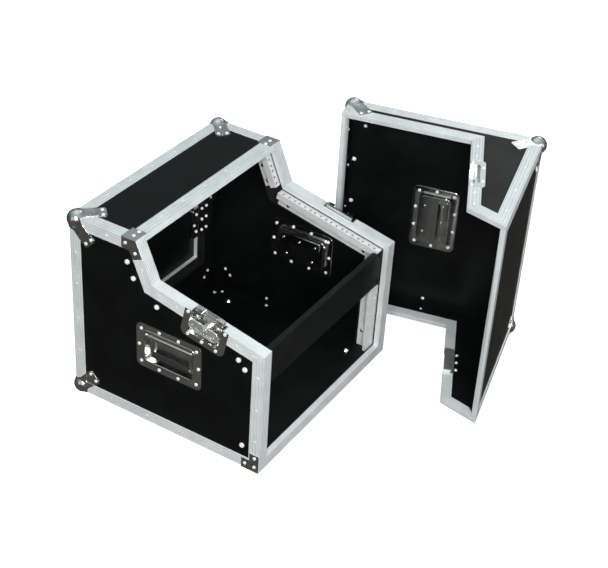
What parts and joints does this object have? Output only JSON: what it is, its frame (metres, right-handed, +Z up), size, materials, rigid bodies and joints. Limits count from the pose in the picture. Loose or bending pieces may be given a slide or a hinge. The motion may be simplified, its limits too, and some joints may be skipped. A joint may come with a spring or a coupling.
{
  "type": "equipment rack case",
  "caption": "Black laminated rack case with a slanted rack opening, aluminium edge profiles, ball corners, recessed handles and latches, a small rear door and a lift-off lid.",
  "frame": {"origin": "centre of the outer face of the base bottom panel", "axes": "+Z up, -Y out of the open rack front, +X towards the right side when facing along +Y into the open front"},
  "size_m": [0.8485, 0.8065, 0.5598],
  "materials": {
    "laminate": "fine-textured black laminate over plywood",
    "wood": "black stained batten",
    "extrusion": "satin ribbed",
    "zinc": "bright plated",
    "rail": "zinc plated",
    "black_steel": "black powder coat",
    "black_rubber": "matt",
    "spring_steel": "bright"
  },
  "bodies": {
    "base": {"back_panel": "laminate", "base_ball_corners": "zinc", "base_corner_braces": "zinc", "base_edge_profiles": "extrusion", "base_rivets": "zinc", "blank_panel": "black_steel", "blank_panel_screws": "black_steel", "bottom_panel": "laminate", "door_opening_frame": "extrusion", "foot_bolts": "zinc", "front_frame_left": "extrusion", "front_frame_right": "extrusion", "front_sill_profile": "extrusion", "handle_dishes": "zinc", "handle_rods": "zinc", "handle_springs": "spring_steel", "hinge_leaf_fixed": "zinc", "latch_dishes": "zinc", "latch_plates": "zinc", "rack_rails_front": "rail", "rack_rails_slope": "rail", "rack_rails_top": "rail", "rail_screws": "zinc", "rubber_feet": "black_rubber", "side_panel_left": "laminate", "side_panel_right": "laminate", "top_cross_profile": "extrusion", "top_panel": "laminate", "wooden_battens": "wood"},
    "lid": {"lid_ball_corners": "zinc", "lid_bottom_panel": "laminate", "lid_edge_profiles": "extrusion", "lid_front_panel": "laminate", "lid_handle_dish": "zinc", "lid_handle_rod": "zinc", "lid_handle_springs": "spring_steel", "lid_keepers": "zinc", "lid_mating_frame": "extrusion", "lid_rivets": "zinc", "lid_side_left": "laminate", "lid_side_right": "laminate", "lid_top_panel": "laminate"},
    "rear_door": {"rear_door_panel": "laminate", "rear_door_edge_frame": "extrusion", "hinge_leaf_door": "zinc", "door_keeper": "zinc", "door_rivets": "zinc"},
    "handle_left": {"handle_bail_left": "zinc", "handle_grip_left": "black_rubber"},
    "handle_right": {"handle_bail_right": "zinc", "handle_grip_right": "black_rubber"},
    "lid_handle": {"lid_handle_bail": "zinc", "lid_handle_grip": "black_rubber"},
    "key_left": {"latch_key_left": "zinc"},
    "key_right": {"latch_key_right": "zinc"},
    "key_rear": {"latch_key_rear": "zinc"},
    "tongue_left": {"latch_tongue_left": "zinc"},
    "tongue_right": {"latch_tongue_right": "zinc"},
    "tongue_rear": {"latch_tongue_rear": "zinc"}
  },
  "joints": [
    {"name": "lid_lift", "type": "slide", "parent": "base", "child": "lid", "axis": [0, 0, 1], "range_m": [0, 0.5]},
    {"name": "rear_door_hinge", "type": "hinge", "parent": "base", "child": "rear_door", "pos_m": [-0.173, 0.2522, 0.23], "axis": [0, 0, 1], "range_deg": [0, 150]},
    {"name": "handle_left_swing", "type": "hinge", "parent": "base", "child": "handle_left", "pos_m": [-0.2605, -0.01, 0.228], "axis": [0, 1, 0], "range_deg": [0, 90], "stiffness_Nm_per_rad": 0.3, "springref_deg": -20.05},
    {"name": "handle_right_swing", "type": "hinge", "parent": "base", "child": "handle_right", "pos_m": [0.2605, -0.01, 0.228], "axis": [0, -1, 0], "range_deg": [0, 90], "stiffness_Nm_per_rad": 0.3, "springref_deg": -20.05},
    {"name": "lid_handle_swing", "type": "hinge", "parent": "lid", "child": "lid_handle", "pos_m": [0.49975, -0.26262, 0.25495], "axis": [0.0257, 0.0058, -0.9997], "range_deg": [0, 90], "stiffness_Nm_per_rad": 0.3, "springref_deg": -20.05},
    {"name": "latch_left_key_turn", "type": "hinge", "parent": "base", "child": "key_left", "pos_m": [-0.2685, -0.10106, 0.31197], "axis": [-1, 0, 0], "range_deg": [0, 180]},
    {"name": "latch_left_tongue_slide", "type": "slide", "parent": "base", "child": "tongue_left", "axis": [0, -0.2055, 0.9787], "range_m": [0, 0.0121]},
    {"name": "latch_right_key_turn", "type": "hinge", "parent": "base", "child": "key_right", "pos_m": [0.2685, -0.10106, 0.31197], "axis": [1, 0, 0], "range_deg": [0, 180]},
    {"name": "latch_right_tongue_slide", "type": "slide", "parent": "base", "child": "tongue_right", "axis": [0, -0.2055, 0.9787], "range_m": [0, 0.0121]},
    {"name": "latch_rear_key_turn", "type": "hinge", "parent": "base", "child": "key_rear", "pos_m": [0.199, 0.2475, 0.23], "axis": [0, 1, 0], "range_deg": [0, 180]},
    {"name": "latch_rear_tongue_slide", "type": "slide", "parent": "base", "child": "tongue_rear", "axis": [-1, 0, 0], "range_m": [0, 0.0121]}
  ],
  "couplings": [
    {"joint": "latch_left_tongue_slide", "follows": "latch_left_key_turn", "m_per_rad": 0.0038197},
    {"joint": "latch_right_tongue_slide", "follows": "latch_right_key_turn", "m_per_rad": 0.0038197},
    {"joint": "latch_rear_tongue_slide", "follows": "latch_rear_key_turn", "m_per_rad": 0.0038197}
  ]
}
